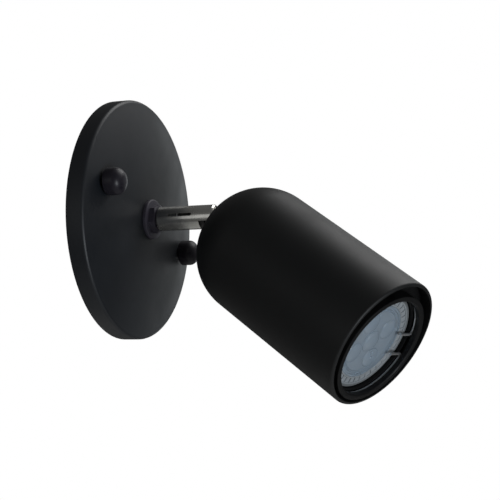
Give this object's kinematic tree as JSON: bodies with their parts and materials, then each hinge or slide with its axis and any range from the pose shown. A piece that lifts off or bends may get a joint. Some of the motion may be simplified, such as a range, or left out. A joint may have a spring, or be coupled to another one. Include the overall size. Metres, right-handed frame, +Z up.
{
  "type": "pivoting spotlight wall light",
  "caption": "Black spotlight with a bullet-shaped head that tilts and turns on a short stem from a round, slightly domed wall canopy held by domed nuts.",
  "frame": {"origin": "on the wall, at the middle of the round canopy, on the back face of the mounting plate", "axes": "+Z up, +Y into the wall, +X to the right seen from the room; the light stands out along -Y"},
  "size_m": [0.1227, 0.1603, 0.1488],
  "materials": {
    "black_powder_coat": "satin",
    "black_head_coat": "matte",
    "black_oxide_steel": "satin",
    "black_nickel": "polished",
    "zinc_plated_steel": "satin",
    "spring_steel": "polished",
    "acetal": "matte",
    "black_mouth_ring": "matte",
    "steatite": "matte",
    "lead_insulation": "matte",
    "lamp_housing": "gloss",
    "lens_polycarbonate": "gloss",
    "bezel_plastic": "gloss",
    "led_board": "matte",
    "nickel_pins": "satin",
    "green_earth_steel": "satin"
  },
  "bodies": {
    "wall_plate": {"mounting_plate": "zinc_plated_steel", "canopy_studs": "zinc_plated_steel", "stud_nuts": "zinc_plated_steel", "ground_screw": "green_earth_steel", "canopy": "black_powder_coat", "cap_nuts": "black_oxide_steel", "seating_washer": "black_oxide_steel", "jam_nut": "black_oxide_steel", "nipple": "zinc_plated_steel", "nipple_locknut": "zinc_plated_steel", "lock_washer": "zinc_plated_steel"},
    "swivel": {"swivel_barrel": "black_nickel", "stop_screw": "black_oxide_steel", "disc_spring": "spring_steel", "friction_sleeve": "acetal", "pivot_pins": "black_nickel"},
    "head": {"knuckle": "black_nickel", "head_shell": "black_head_coat", "shell_washer": "zinc_plated_steel", "shell_nut": "zinc_plated_steel", "holder_bracket": "zinc_plated_steel", "bracket_earth_screw": "green_earth_steel", "lampholder": "steatite", "holder_screws": "zinc_plated_steel", "lamp_leads": "lead_insulation", "front_ring": "black_mouth_ring", "retaining_ring": "spring_steel", "lamp_body": "lamp_housing", "lamp_pins": "nickel_pins", "lamp_bezel": "bezel_plastic", "lamp_lens": "lens_polycarbonate", "lamp_led_board": "led_board"}
  },
  "joints": [
    {"name": "stem_turn", "type": "hinge", "parent": "wall_plate", "child": "swivel", "pos_m": [0, -0.0484, 0], "axis": [0, 1, 0], "range_deg": [-160, 160]},
    {"name": "head_tilt", "type": "hinge", "parent": "swivel", "child": "head", "pos_m": [0, -0.0484, 0], "axis": [0.887, 0, -0.4617], "range_deg": [-36.95, 43.05]}
  ]
}
